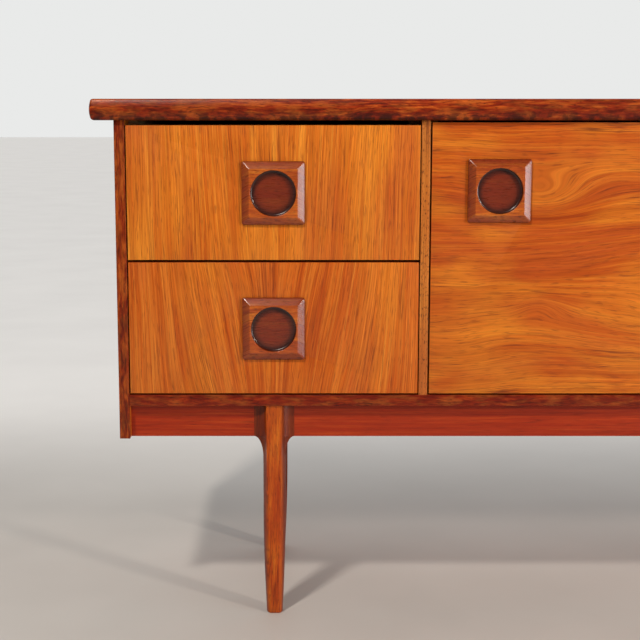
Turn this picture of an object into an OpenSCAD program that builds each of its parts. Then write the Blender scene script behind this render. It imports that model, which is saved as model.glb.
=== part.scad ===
// Long sideboard: a veneered case with a bank of two drawers and two side-hung doors,
// under a lipped top and on a jointed underframe with four shaped legs.
// Millimetres, +Z up, front towards -Y, origin on the floor under the middle of the whole.

/* [Overall] */
// Length of the top
top_w = 1830; // [1600:10:2100]
// Height from the floor to the top surface
overall_h = 760; // [720:5:800]
// Depth of the case, from front edges to back
case_d = 412; // [390:1:460]

/* [Top] */
// Thickness of the top
top_t = 30; // [26:1:36]
// How far the top reaches past each side
top_over_side = 33; // [20:1:50]
// How far the top reaches past the front edges of the case
top_over_front = 12; // [6:1:15]
// How far the top reaches past the back
top_over_back = 8; // [0:1:20]
// Width of the solid strips round the top's edge
top_strip_w = 20; // [14:1:30]
// How far the rounded edge of the top bulges
top_bulge = 4; // [2:0.5:6]

/* [Case] */
// Thickness of the two sides
side_t = 15; // [14:0.5:19]
// Thickness of the two upright partitions
partition_t = 12.5; // [12:0.5:16]
// Thickness of the bottom board
base_t = 16; // [15:0.5:19]
// Clear height between bottom board and top
bay_h = 395; // [370:1:420]
// Clear width of the drawer bay
drawer_bay_w = 420; // [380:1:440]
// Thickness of the back panel
back_t = 4; // [3:0.5:6]
// Depth of the solid strips on the front edges of the case
edge_strip_d = 6; // [4:1:10]

/* [Drawers] */
// Thickness of drawer fronts and doors
front_t = 18; // [16:1:20]
// Gap beside a drawer front
drawer_side_gap = 1.75; // [1.5:0.25:2.5]
// Height of one drawer front
drawer_front_h = 191; // [178:0.5:191]
// Depth of a drawer box behind its front
drawer_box_d = 370; // [330:1:370]
// Thickness of a drawer's sides and back
drawer_side_t = 12; // [11:0.5:14]
// Height of a drawer's sides
drawer_side_h = 145; // [130:1:150]

/* [Doors] */
// Gap round a door
door_gap = 2.5; // [2.5:0.25:3]
// Distance of a door's handle from the door's top and free edge
door_handle_inset = 51; // [30:1:80]

/* [Handles] */
// Side of a square handle block
handle_w = 90; // [80:1:100]
// How far a handle stands out
handle_t = 10; // [9:0.5:14]
// Width of a handle's bevel, seen from the front
handle_bevel_w = 10.5; // [6:0.5:12]
// Height of a handle's bevel
handle_bevel_h = 6; // [4:0.5:7]
// Radius of the round finger hollow
hollow_r = 32.5; // [28:0.5:34]
// Depth of the round finger hollow
hollow_d = 8.5; // [6:0.5:8.5]

/* [Underframe] */
// Height of the rails, which is how far the sides run below the bottom board
rail_h = 49; // [40:1:60]
// Thickness of the rails
rail_t = 22; // [18:1:26]
// How far the front rail stands behind the case front
rail_setback = 16; // [14:1:24]
// Width of a leg below the rails
leg_w = 32.4; // [29:0.2:38]
// Width of a leg at the floor
foot_w = 23.6; // [20:0.2:28]
// Width of the flat ridge down the outer face of a leg, at the rails
ridge_w = 22.5; // [18:0.5:26]
// Width of a leg's shoulders, where the rails meet it
shoulder_w = 59; // [54:1:64]
// Distance from the case back to the middle of a back leg
back_leg_inset = 90; // [60:1:140]

/* [Hidden] */
$fn = 64;

// A hair that takes a cutter past the face it opens
eps = 1;
// Clearance of a loose round peg or screw in its hole
slip = 0.05;
// Joint line between two strips
hairline = 0.1;

// Main planes of the case
case_w = top_w - 2 * top_over_side;
x_left = -case_w / 2;
x_right = case_w / 2;
y_front = (max(handle_t, top_over_front) - case_d - top_over_back) / 2;
y_back = y_front + case_d;
y_inner_back = y_back - back_t;
z_top_under = overall_h - top_t;
z_base_top = z_top_under - bay_h;
z_base_under = z_base_top - base_t;
z_skirt = z_base_under - rail_h;

// Bays, as pairs of clear faces
door_bay_w = (case_w - 2 * side_t - 2 * partition_t - drawer_bay_w) / 2;
bay_drawers = [x_left + side_t, x_left + side_t + drawer_bay_w];
bay_middle = [bay_drawers[1] + partition_t, bay_drawers[1] + partition_t + door_bay_w];
bay_right = [bay_middle[1] + partition_t, x_right - side_t];
x_drawers = (bay_drawers[0] + bay_drawers[1]) / 2;

// Drawers
front_bottom_gap = 2.5;
front_middle_gap = 3.75;
drawer_front_w = drawer_bay_w - 2 * drawer_side_gap;
lower_z = z_base_top + front_bottom_gap;
upper_z = lower_z + drawer_front_h + front_middle_gap;
drawer_side_lift = 14;
y_box_front = y_front + front_t;
y_box_back = y_box_front + drawer_box_d;
tail_d = 12;
ply_t = 4;
ply_groove_d = 5;
ply_lift = 10;
groove_h = 17;
groove_lift = 68;
runner_h = 16;
runner_d = 6.5;
runner_play = 0.4;
groove_d = runner_d - drawer_side_gap + runner_play;

// Doors
door_w = door_bay_w - 2 * door_gap;
door_z = z_base_top + front_bottom_gap;
door_top_gap = 3;
door_h = bay_h - front_bottom_gap - door_top_gap;

// Butt hinges
hinge_h = 50;
leaf_t = 1.3;
leaf_sink = 0.3;
leaf_d = 15;
knuckle_r = 3;
pin_r = 1.25;
knuckle_gap = 0.3;
y_pin = y_front - 1.5;
hinge_screw_l = 10;
hinge_head_r = 2.6;
hinge_shank_r = 1.5;
hinge_zs = [door_z + 45, door_z + door_h - 45 - hinge_h];

// Catches and shelves
catch_size = [14, 30, 40];
strike_t = 1.2;
catch_gap = 0.4;
catch_z = door_z + door_h / 2;
shelf_t = 12;
shelf_d = 330;
shelf_play = 0.75;
shelf_z = z_base_top + 190;
peg_r = 2.5;
peg_in = 5.5;
peg_out = 9;
peg_ys = [y_inner_back - 60, y_inner_back - shelf_d + 60];

// Underframe
x_legs = [x_drawers, -x_drawers];
leg_ridge_setback = 3;
y_leg_front = y_front + leg_ridge_setback + leg_w / 2;
y_leg_back = y_back - back_leg_inset;
taper_h = 150;
flare_h = 31;
tenon_l = 9;
tenon_t = 10;
tenon_h = 33;
rail_end_x = (x_right - side_t + x_legs[1] + shoulder_w / 2) / 2;
frame_screw_xs = [-rail_end_x, -380, -120, 120, 380, rail_end_x];

// Colours
veneer = "chocolate";
solid_wood = "sienna";
dark_wood = "saddlebrown";
inner_wood = "burlywood";
metal = "goldenrod";

// ---- Helpers ----

// A block between two corners
module block(low, high) {
    translate(low)
        cube(high - low);
}

// A wood screw standing on its head, shank up
module screw(length, head_r = 3.5, shank_r = 1.75) {
    cylinder(r = head_r, h = 2);
    cylinder(r = shank_r, h = length);
}

// Outline of the rounded edge: a bulged face with eased corners, depth along x, height along y
edge_steps = 12;
function bulged_edge(depth, height, bulge, ease = 2.5) =
    concat(
        [[depth, 0], [depth, height]],
        [for (i = [0 : edge_steps])
            let (a = 90 - 180 * i / edge_steps)
            [bulge + ease - ease * cos(a) - bulge * pow(cos(a), 0.7), height / 2 + (height / 2) * sin(a)]]
    );

// ---- Top ----

// Places of the screws that hold the top, one row along each cleat
cleat_l = 300;
cleat_s = 15;
cleat_xs = [for (bay = [bay_drawers, bay_middle, bay_right]) each [bay[0], bay[1] - cleat_s]];
cleat_y = y_front + 50;
cleat_screw_ys = [cleat_y + 40, cleat_y + cleat_l - 40];
cleat_screw_l = 30;

module at_cleat_screws() {
    for (x = cleat_xs, y = cleat_screw_ys)
        translate([x + cleat_s / 2, y, z_top_under - cleat_s])
            children();
}

module top_panel() {
    color(veneer)
        difference() {
            block(
                [-top_w / 2 + top_strip_w, y_front - top_over_front + top_strip_w, z_top_under],
                [top_w / 2 - top_strip_w, y_back + top_over_back, overall_h]
            );
            at_cleat_screws()
                cylinder(r = 1.75 + slip, h = cleat_screw_l + slip);
        }
}

// The edge strip that faces -Y, running the whole length
module front_strip_form() {
    translate([-top_w / 2, y_front - top_over_front, z_top_under])
        rotate([90, 0, 90])
            linear_extrude(top_w)
                polygon(bulged_edge(top_strip_w, top_t, top_bulge));
}

// The edge strip that faces -X, over the whole depth
module left_strip_form(y0, y1) {
    translate([-top_w / 2, y1, z_top_under])
        rotate([90, 0, 0])
            linear_extrude(y1 - y0)
                polygon(bulged_edge(top_strip_w, top_t, top_bulge));
}

module both_ends_bulged() {
    mid = top_w / 2 - top_strip_w;
    y0 = y_front - top_over_front;
    union() {
        block([-mid, y0 - eps, z_top_under - eps], [mid, y0 + top_strip_w + eps, overall_h + eps]);
        for (m = [0, 1])
            mirror([m, 0, 0])
                left_strip_form(y0 - eps, y0 + top_strip_w + eps);
    }
}

module top_edge_front() {
    color(dark_wood)
        intersection() {
            front_strip_form();
            both_ends_bulged();
        }
}

module top_edge_left() {
    color(dark_wood)
        left_strip_form(y_front - top_over_front + top_strip_w, y_back + top_over_back);
}

module top_edge_right() {
    color(dark_wood)
        mirror([1, 0, 0])
            left_strip_form(y_front - top_over_front + top_strip_w, y_back + top_over_back);
}

module top_cleats() {
    color(inner_wood)
        difference() {
            for (x = cleat_xs)
                block([x, cleat_y, z_top_under - cleat_s], [x + cleat_s, cleat_y + cleat_l, z_top_under]);
            at_cleat_screws() {
                translate([0, 0, -eps])
                    cylinder(r = 1.75 + slip, h = cleat_s + 2 * eps);
                translate([0, 0, -eps])
                    cylinder(r = 3.5 + slip, h = 2 + eps);
            }
        }
}

module cleat_screws() {
    color(metal)
        at_cleat_screws()
            screw(cleat_screw_l);
}

// ---- Case ----

// Peg holes on one face; dir is +1 when the hole goes towards +X
module peg_holes(x, dir) {
    for (y = peg_ys)
        translate([x, y, shelf_z - peg_r - slip])
            rotate([0, 90 * dir, 0])
                translate([0, 0, -eps])
                    cylinder(r = peg_r, h = peg_in + eps, $fn = 32);
}

// Room for the hinges of a door whose hanging edge meets the face at x
module hinge_seats(x) {
    for (z = hinge_zs) {
        translate([x - door_gap / 2, y_pin, z])
            cylinder(r = knuckle_r + 0.4, h = hinge_h);
        block([x - eps, y_front - eps, z], [x + leaf_sink, y_front + leaf_d, z + hinge_h]);
    }
    hinge_screw_holes(x, 1);
}

// Places of the hinge screws on the leaves seated in the face at x; dir is +1 when they go towards +X
module at_hinge_screws(x, dir) {
    for (z = hinge_zs, part = [0.25, 0.75])
        translate([x - dir * (leaf_t - leaf_sink), y_front + leaf_d * 0.62, z + part * hinge_h])
            rotate([0, 90 * dir, 0])
                children();
}

module hinge_screw_holes(x, dir) {
    at_hinge_screws(x, dir) {
        translate([0, 0, -eps])
            cylinder(r = hinge_head_r + slip, h = 1 + eps, $fn = 32);
        cylinder(r = hinge_shank_r + slip, h = hinge_screw_l + slip, $fn = 32);
    }
}

module hinge_screws(x, dir) {
    color(metal)
        at_hinge_screws(x, dir) {
            cylinder(r = hinge_head_r, h = 1, $fn = 32);
            cylinder(r = hinge_shank_r, h = hinge_screw_l, $fn = 32);
        }
}

module side_left() {
    color(veneer)
        block([x_left, y_front + edge_strip_d, z_skirt], [x_left + side_t, y_back, z_top_under]);
}

module side_right() {
    color(veneer)
        difference() {
            block([x_right - side_t, y_front + edge_strip_d, z_skirt], [x_right, y_back, z_top_under]);
            peg_holes(x_right - side_t, 1);
            hinge_seats(x_right - side_t);
        }
}

module partition_left() {
    color(veneer)
        difference() {
            block(
                [bay_drawers[1], y_front + edge_strip_d, z_base_top],
                [bay_middle[0], y_inner_back, z_top_under]
            );
            peg_holes(bay_middle[0], -1);
        }
}

module partition_right() {
    color(veneer)
        difference() {
            block(
                [bay_middle[1], y_front + edge_strip_d, z_base_top],
                [bay_right[0], y_inner_back, z_top_under]
            );
            peg_holes(bay_middle[1], 1);
            peg_holes(bay_right[0], -1);
            hinge_seats(bay_middle[1]);
        }
}

// Solid strips glued on the front edges, with hairline joints where they meet
module front_edge_strips() {
    y0 = y_front;
    y1 = y_front + edge_strip_d;
    z0 = z_base_top + hairline;
    color(dark_wood) {
        block([x_left, y0, z_skirt], [x_left + side_t, y1, z_top_under]);
        block([bay_drawers[1], y0, z0], [bay_middle[0], y1, z_top_under]);
        block([bay_drawers[0] + hairline, y0, z_base_under], [bay_right[1] - hairline, y1, z_base_top]);
        difference() {
            block([bay_middle[1], y0, z0], [bay_right[0], y1, z_top_under]);
            hinge_seats(bay_middle[1]);
        }
        difference() {
            block([bay_right[1], y0, z_skirt], [x_right, y1, z_top_under]);
            hinge_seats(bay_right[1]);
        }
    }
}

module bottom_panel() {
    color(veneer)
        difference() {
            block(
                [bay_drawers[0], y_front + edge_strip_d, z_base_under],
                [bay_right[1], y_inner_back, z_base_top]
            );
            at_frame_screws()
                cylinder(r = frame_screw_r + slip, h = frame_screw_l + slip);
            back_screw_holes();
        }
}

back_screw_xs = [for (i = [0 : 8]) x_left + side_t + 12 + i * (case_w - 2 * side_t - 24) / 8];
back_screw_z = z_base_under + base_t / 2;
back_screw_l = 16;

module at_back_screws() {
    for (x = back_screw_xs)
        translate([x, y_back, back_screw_z])
            rotate([90, 0, 0])
                children();
}

module back_panel() {
    color(inner_wood)
        difference() {
            block([bay_drawers[0], y_inner_back, z_base_under], [bay_right[1], y_back, z_top_under]);
            back_screw_holes();
        }
}

module back_screw_holes() {
    at_back_screws() {
        translate([0, 0, -eps])
            cylinder(r = 3 + slip, h = 1.5 + eps, $fn = 32);
        cylinder(r = 1.5 + slip, h = back_screw_l + slip, $fn = 32);
    }
}

// Flat heads let in flush with the back panel, shanks in the bottom board's back edge
module back_panel_screws() {
    color(metal)
        at_back_screws() {
            cylinder(r = 3, h = 1.5, $fn = 32);
            cylinder(r = 1.5, h = back_screw_l, $fn = 32);
        }
}

module shelf(bay) {
    color(veneer)
        block(
            [bay[0] + shelf_play, y_inner_back - shelf_d, shelf_z],
            [bay[1] - shelf_play, y_inner_back - 1, shelf_z + shelf_t]
        );
}

module shelf_pegs() {
    color(metal)
        for (bay = [bay_middle, bay_right], y = peg_ys, s = [0, 1])
            translate([bay[s], y, shelf_z - peg_r - slip])
                rotate([0, s == 0 ? -90 : 90, 0])
                    translate([0, 0, -peg_out])
                        cylinder(r = peg_r - slip, h = peg_out + peg_in - slip, $fn = 32);
}

// Magnetic catches on the faces that the doors' free edges close against
module door_catches() {
    color("dimgray")
        for (bay = [bay_middle, bay_right])
            translate([bay[0], y_front + front_t + strike_t + catch_gap, catch_z - catch_size[2] / 2])
                cube(catch_size);
}

// ---- Drawer guides ----

function runner_z(front_z) = front_z + groove_lift + (groove_h - runner_h) / 2;

module drawer_runners() {
    color(inner_wood)
        for (z = [lower_z, upper_z], s = [0, 1])
            translate([s == 0 ? bay_drawers[0] : bay_drawers[1] - runner_d, y_box_front + 10, runner_z(z)])
                cube([runner_d, drawer_box_d - 20, runner_h]);
}

module drawer_stops() {
    stop_w = 12;
    color(inner_wood)
        for (z = [lower_z, upper_z], s = [0, 1])
            translate([s == 0 ? bay_drawers[0] : bay_drawers[1] - stop_w, y_box_back + 0.3, z + 40])
                cube([stop_w, y_inner_back - y_box_back - 0.3, 40]);
}

// ---- Drawers ----

// One dovetail on the end of a drawer side, pointing to -Y; its wide end is at the tip
module tail(z, half) {
    spread = 2;
    translate([0, y_box_front, z])
        rotate([90, 0, 90])
            linear_extrude(drawer_side_t)
                polygon([[eps, -half], [eps, half], [-tail_d, half + spread], [-tail_d, -half - spread]]);
}

// The row of tails of the drawer whose front starts at front_z
module tails(front_z) {
    for (i = [0 : 3])
        tail(front_z + drawer_side_lift + drawer_side_h * (i + 0.5) / 4, 11);
}

module drawer_front(front_z) {
    color(veneer)
        difference() {
            block(
                [x_drawers - drawer_front_w / 2, y_front, front_z],
                [x_drawers + drawer_front_w / 2, y_box_front, front_z + drawer_front_h]
            );
            for (s = [-1, 1])
                translate([x_drawers + s * (drawer_front_w / 2) - (s > 0 ? drawer_side_t : 0), 0, 0])
                    tails(front_z);
            ply_slot(front_z);
            handle_screw_holes(x_drawers, front_z + drawer_front_h / 2);
        }
}

// Room for the drawer's plywood bottom in the front and sides
module ply_slot(front_z) {
    z = front_z + drawer_side_lift + ply_lift;
    half = drawer_front_w / 2 - drawer_side_t + ply_groove_d;
    block(
        [x_drawers - half, y_box_front - ply_groove_d, z],
        [x_drawers + half, y_box_back + eps, z + ply_t]
    );
}

module drawer_side(front_z, s) {
    x0 = x_drawers + s * (drawer_front_w / 2) - (s > 0 ? drawer_side_t : 0);
    z0 = front_z + drawer_side_lift;
    groove_x = s > 0 ? x0 + drawer_side_t - groove_d : x0 - eps;
    color(inner_wood)
        difference() {
            union() {
                block([x0, y_box_front, z0], [x0 + drawer_side_t, y_box_back, z0 + drawer_side_h]);
                translate([x0, 0, 0])
                    tails(front_z);
            }
            ply_slot(front_z);
            block(
                [groove_x, y_box_front + 8, front_z + groove_lift],
                [groove_x + groove_d + eps, y_box_back + eps, front_z + groove_lift + groove_h]
            );
        }
}

module drawer_back(front_z) {
    inner = drawer_front_w / 2 - drawer_side_t;
    z0 = front_z + drawer_side_lift + ply_lift + ply_t;
    color(inner_wood)
        block(
            [x_drawers - inner, y_box_back - drawer_side_t, z0],
            [x_drawers + inner, y_box_back, front_z + drawer_side_lift + drawer_side_h - 6]
        );
}

module drawer_bottom(front_z) {
    z = front_z + drawer_side_lift + ply_lift;
    half = drawer_front_w / 2 - drawer_side_t + ply_groove_d - 0.5;
    color(inner_wood)
        block(
            [x_drawers - half, y_box_front - ply_groove_d + 0.5, z],
            [x_drawers + half, y_box_back, z + ply_t]
        );
}

// ---- Handles ----

hollow_cove = 3;
cove_steps = 8;
handle_screw_at = 36.5; // from the middle, towards two opposite corners
handle_screw_l = 22;

// Half section of the round hollow: depth below the face along y, from rim to floor
function hollow_outline() =
    concat(
        [[0, eps], [hollow_r, eps], [hollow_r, -(hollow_d - hollow_cove)]],
        [for (i = [1 : cove_steps])
            let (a = 90 * i / cove_steps)
            [hollow_r - hollow_cove + hollow_cove * cos(a), -(hollow_d - hollow_cove) - hollow_cove * sin(a)]],
        [[0, -hollow_d]]
    );

// Outline of the bevelled block, seen along one of its sides
function bevelled_outline() =
    let (h = handle_w / 2, b = handle_bevel_w)
    [
        [-h, 0], [h, 0], [h, handle_t - handle_bevel_h], [h - b, handle_t],
        [-h + b, handle_t], [-h, handle_t - handle_bevel_h]
    ];

module at_handle_screws(x, z) {
    for (s = [-1, 1])
        translate([x + s * handle_screw_at, y_box_front, z - s * handle_screw_at])
            rotate([90, 0, 0])
                children();
}

module handle_screw_holes(x, z) {
    at_handle_screws(x, z) {
        translate([0, 0, -eps])
            cylinder(r = 1.75 + slip, h = front_t + 2 * eps, $fn = 32);
        translate([0, 0, -eps])
            cylinder(r = 3.5 + slip, h = 2 + eps, $fn = 32);
    }
}

module handle_screws(x, z) {
    color(metal)
        at_handle_screws(x, z)
            screw(handle_screw_l, $fn = 32);
}

// A square block with bevelled edges and a round finger hollow, centred at x, z
module handle(x, z) {
    color(dark_wood)
        difference() {
            intersection() {
                translate([x, y_front, z - handle_w])
                    mirror([0, 1, 0])
                        linear_extrude(2 * handle_w)
                            polygon(bevelled_outline());
                translate([x - handle_w, y_front, z])
                    rotate([0, 90, 0])
                        mirror([0, 1, 0])
                            linear_extrude(2 * handle_w)
                                polygon(bevelled_outline());
            }
            translate([x, y_front - handle_t, z])
                rotate([90, 0, 0])
                    rotate_extrude($fn = 96)
                        polygon(hollow_outline());
            at_handle_screws(x, z)
                cylinder(r = 1.75 + slip, h = handle_screw_l + slip, $fn = 32);
        }
}

// ---- Doors ----

function door_left(bay) = bay[0] + door_gap;
function door_right(bay) = bay[1] - door_gap;
function door_handle_x(bay) = door_left(bay) + door_handle_inset + handle_w / 2;
door_handle_z = door_z + door_h - door_handle_inset - handle_w / 2;

module door_panel(bay) {
    x1 = door_right(bay);
    color(veneer)
        difference() {
            block([door_left(bay), y_front, door_z], [x1, y_box_front, door_z + door_h]);
            for (z = hinge_zs) {
                translate([x1 + door_gap / 2, y_pin, z])
                    cylinder(r = knuckle_r + 0.4, h = hinge_h);
                block([x1 - leaf_sink, y_front - eps, z], [x1 + eps, y_front + leaf_d, z + hinge_h]);
            }
            hinge_screw_holes(x1, -1);
            handle_screw_holes(door_handle_x(bay), door_handle_z);
        }
}

module strike(bay) {
    x = bay[0] + door_gap;
    color(metal)
        block([x + 1, y_box_front, catch_z - 18], [x + 12, y_box_front + strike_t, catch_z + 18]);
}

// Five knuckles share a hinge: the case leaf holds 0, 2 and 4 and the door leaf 1 and 3
module knuckles(x, z, picks, bore_r) {
    step = hinge_h / 5;
    for (i = picks)
        translate([x, y_pin, z + i * step + knuckle_gap / 2])
            difference() {
                cylinder(r = knuckle_r, h = step - knuckle_gap);
                translate([0, 0, -eps])
                    cylinder(r = bore_r, h = step + 2 * eps);
            }
}

// The flat leaf and the arms that reach its knuckles; x0 and x1 are the leaf's two faces
module leaf_plate(x_pin, x0, x1, z, picks) {
    step = hinge_h / 5;
    block([x0, y_front + 1.8, z + knuckle_gap / 2], [x1, y_front + leaf_d, z + hinge_h - knuckle_gap / 2]);
    for (i = picks)
        difference() {
            block(
                [x0, y_pin, z + i * step + knuckle_gap / 2],
                [x1, y_front + 2, z + (i + 1) * step - knuckle_gap / 2]
            );
            translate([x_pin, y_pin, z + i * step - eps])
                cylinder(r = knuckle_r - 0.5, h = step + 2 * eps);
        }
}

// Case-side leaves of the door whose hanging edge meets the face at x
module case_leaves(x) {
    x_pin = x - door_gap / 2;
    color(metal)
        difference() {
            for (z = hinge_zs) {
                leaf_plate(x_pin, x - (leaf_t - leaf_sink), x + leaf_sink, z, [0, 2, 4]);
                knuckles(x_pin, z, [0, 2, 4], pin_r + 0.02);
            }
            hinge_screw_holes(x, 1);
        }
}

module case_hinge_leaves() {
    case_leaves(bay_middle[1]);
    case_leaves(bay_right[1]);
}

module case_hinge_screws() {
    hinge_screws(bay_middle[1], 1);
    hinge_screws(bay_right[1], 1);
}

module door_leaves(bay) {
    x = door_right(bay);
    x_pin = x + door_gap / 2;
    color(metal)
        difference() {
            for (z = hinge_zs) {
                leaf_plate(x_pin, x - leaf_sink, x + (leaf_t - leaf_sink), z, [1, 3]);
                knuckles(x_pin, z, [1, 3], pin_r + slip);
            }
            hinge_screw_holes(x, -1);
        }
}

module hinge_pins() {
    color(metal)
        for (bay = [bay_middle, bay_right], z = hinge_zs)
            translate([bay[1] - door_gap / 2, y_pin, z + knuckle_gap / 2])
                cylinder(r = pin_r, h = hinge_h - knuckle_gap);
}

// ---- Underframe ----

// Half width of a leg at height z, growing from the foot to the full width
function leg_half(z) = foot_w / 2 + (leg_w - foot_w) / 2 * sin(90 * min(z / taper_h, 1));

// Half width of the ridge at height z
function ridge_half(z) = leg_half(z) * ridge_w / leg_w;

// A rounded square ring of a leg at height z
corner_steps = 3;
function leg_ring(z) =
    let (h = leg_half(z), r = h - ridge_half(z))
    [for (q = [0 : 3], i = [0 : corner_steps])
        let (a = 90 * q + 90 * i / corner_steps, b = 45 + 90 * q)
        [
            sign(cos(b)) * (h - r) + r * cos(a),
            sign(sin(b)) * (h - r) + r * sin(a),
            z
        ]];

leg_zs = [for (i = [0 : 8]) z_base_under * pow(i / 8, 1.2)];

module leg_post() {
    n = 4 * (corner_steps + 1);
    rings = len(leg_zs);
    polyhedron(
        points = [for (z = leg_zs) each leg_ring(z)],
        faces = concat(
            [[for (i = [0 : n - 1]) i]],
            [for (k = [0 : rings - 2], i = [0 : n - 1])
                let (j = (i + 1) % n)
                [k * n + i, (k + 1) * n + i, (k + 1) * n + j, k * n + j]],
            [[for (i = [n - 1 : -1 : 0]) (rings - 1) * n + i]]
        )
    );
}

// Plan of the shoulders: a ridge in front, coves on both sides, the rails' thickness behind
cove_n = 8;
function shoulder_plan() =
    let (a0 = ridge_w / 2, b0 = shoulder_w / 2, yr = -leg_w / 2, yc = rail_setback - leg_ridge_setback - leg_w / 2)
    concat(
        [[-b0, yc + rail_t], [-b0, yc]],
        [for (i = [1 : cove_n]) let (a = 90 * i / cove_n) [-b0 + (b0 - a0) * sin(a), yc - (yc - yr) * (1 - cos(a))]],
        [for (i = [cove_n : -1 : 1]) let (a = 90 * i / cove_n) [b0 - (b0 - a0) * sin(a), yc - (yc - yr) * (1 - cos(a))]],
        [[b0, yc], [b0, yc + rail_t]]
    );

// Front view of the shoulders, with the flares that run down into the leg
function shoulder_front() =
    let (a0 = leg_w / 2 - 1, b0 = shoulder_w / 2, z1 = z_base_under)
    concat(
        [[-b0, z1], [-b0, z_skirt]],
        [for (i = [1 : cove_n]) let (a = 90 * i / cove_n) [-b0 + (b0 - a0) * sin(a), z_skirt - flare_h * (1 - cos(a))]],
        [for (i = [cove_n : -1 : 1]) let (a = 90 * i / cove_n) [b0 - (b0 - a0) * sin(a), z_skirt - flare_h * (1 - cos(a))]],
        [[b0, z_skirt], [b0, z1]]
    );

module shoulders() {
    intersection() {
        translate([0, 0, z_skirt - flare_h - eps])
            linear_extrude(rail_h + flare_h + eps)
                polygon(shoulder_plan());
        translate([0, 2 * leg_w, 0])
            rotate([90, 0, 0])
                linear_extrude(4 * leg_w)
                    polygon(shoulder_front());
    }
}

// A leg in its own place, ridge towards -Y, with the mortises for the rails
module leg_form() {
    yc = rail_setback - leg_ridge_setback - leg_w / 2 + rail_t / 2;
    difference() {
        union() {
            leg_post();
            shoulders();
        }
        for (s = [-1, 1])
            translate([s * (shoulder_w / 2 - tenon_l / 2 + eps / 2), yc, z_skirt + rail_h / 2])
                cube([tenon_l + eps, tenon_t, tenon_h], center = true);
        translate([0, yc + rail_t / 2 - tenon_l / 2 + eps / 2, z_skirt + rail_h / 2])
            cube([tenon_t, tenon_l + eps, tenon_h], center = true);
    }
}

module leg(x, back) {
    color(solid_wood)
        translate([x, back ? y_leg_back : y_leg_front, 0])
            mirror([0, back ? 1 : 0, 0])
                leg_form();
}

frame_screw_l = 28;
frame_screw_r = 2.2;
frame_sink = 30;
y_rail_front = y_front + rail_setback + rail_t / 2;
y_rail_back = y_leg_back - (rail_setback - leg_ridge_setback - leg_w / 2 + rail_t / 2);

module at_frame_screws() {
    for (x = frame_screw_xs, y = [y_rail_front, y_rail_back])
        translate([x, y, z_skirt + frame_sink])
            children();
}

// A rail along X between x0 and x1; t0 and t1 say which ends carry a tenon
module long_rail(x0, x1, y, t0, t1) {
    zm = z_skirt + rail_h / 2;
    color(solid_wood)
        difference() {
            union() {
                block([x0, y - rail_t / 2, z_skirt], [x1, y + rail_t / 2, z_base_under]);
                if (t0)
                    translate([x0 - tenon_l / 2 + eps / 2, y, zm])
                        cube([tenon_l + eps, tenon_t, tenon_h], center = true);
                if (t1)
                    translate([x1 + tenon_l / 2 - eps / 2, y, zm])
                        cube([tenon_l + eps, tenon_t, tenon_h], center = true);
            }
            at_frame_screws() {
                translate([0, 0, -frame_sink - eps])
                    cylinder(r = 5, h = frame_sink + eps);
                cylinder(r = frame_screw_r + slip, h = rail_h);
            }
        }
}

module rail_end_left(y) {
    long_rail(bay_drawers[0], x_legs[0] - shoulder_w / 2, y, false, true);
}

module rail_between(y) {
    long_rail(x_legs[0] + shoulder_w / 2, x_legs[1] - shoulder_w / 2, y, true, true);
}

module rail_end_right(y) {
    long_rail(x_legs[1] + shoulder_w / 2, bay_right[1], y, true, false);
}

module cross_rail(x) {
    y0 = y_rail_front + rail_t / 2;
    y1 = y_rail_back - rail_t / 2;
    color(solid_wood) {
        block([x - rail_t / 2, y0, z_skirt], [x + rail_t / 2, y1, z_base_under]);
        for (y = [y0 - tenon_l, y1])
            block(
                [x - tenon_t / 2, y, z_skirt + (rail_h - tenon_h) / 2],
                [x + tenon_t / 2, y + tenon_l, z_skirt + (rail_h + tenon_h) / 2]
            );
    }
}

module frame_screws() {
    color(metal)
        at_frame_screws() {
            translate([0, 0, -2])
                cylinder(r = 4.2, h = 2);
            cylinder(r = frame_screw_r, h = frame_screw_l);
        }
}

module door_screws(bay) {
    handle_screws(door_handle_x(bay), door_handle_z);
    hinge_screws(door_right(bay), -1);
}

// ---- The sideboard ----

top_panel();
top_edge_front();
top_edge_left();
top_edge_right();
side_left();
side_right();
partition_left();
partition_right();
bottom_panel();
front_edge_strips();
back_panel();
back_panel_screws();
top_cleats();
cleat_screws();
drawer_runners();
drawer_stops();
shelf(bay_middle);  // shelf_middle
shelf(bay_right);  // shelf_right
shelf_pegs();
door_catches();
case_hinge_leaves();
case_hinge_screws();
hinge_pins();
leg(x_legs[0], false);  // leg_front_left
leg(x_legs[1], false);  // leg_front_right
leg(x_legs[0], true);  // leg_back_left
leg(x_legs[1], true);  // leg_back_right
rail_end_left(y_rail_front);  // front_rail_left
rail_between(y_rail_front);  // front_rail_middle
rail_end_right(y_rail_front);  // front_rail_right
rail_end_left(y_rail_back);  // back_rail_left
rail_between(y_rail_back);  // back_rail_middle
rail_end_right(y_rail_back);  // back_rail_right
cross_rail(x_legs[0]);  // cross_rail_left
cross_rail(x_legs[1]);  // cross_rail_right
frame_screws();
drawer_front(upper_z);  // upper_drawer_front
drawer_side(upper_z, -1);  // upper_drawer_side_left
drawer_side(upper_z, 1);  // upper_drawer_side_right
drawer_back(upper_z);  // upper_drawer_back
drawer_bottom(upper_z);  // upper_drawer_bottom
handle(x_drawers, upper_z + drawer_front_h / 2);  // upper_drawer_handle
handle_screws(x_drawers, upper_z + drawer_front_h / 2);  // upper_drawer_screws
drawer_front(lower_z);  // lower_drawer_front
drawer_side(lower_z, -1);  // lower_drawer_side_left
drawer_side(lower_z, 1);  // lower_drawer_side_right
drawer_back(lower_z);  // lower_drawer_back
drawer_bottom(lower_z);  // lower_drawer_bottom
handle(x_drawers, lower_z + drawer_front_h / 2);  // lower_drawer_handle
handle_screws(x_drawers, lower_z + drawer_front_h / 2);  // lower_drawer_screws
door_panel(bay_middle);  // middle_door_panel
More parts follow.
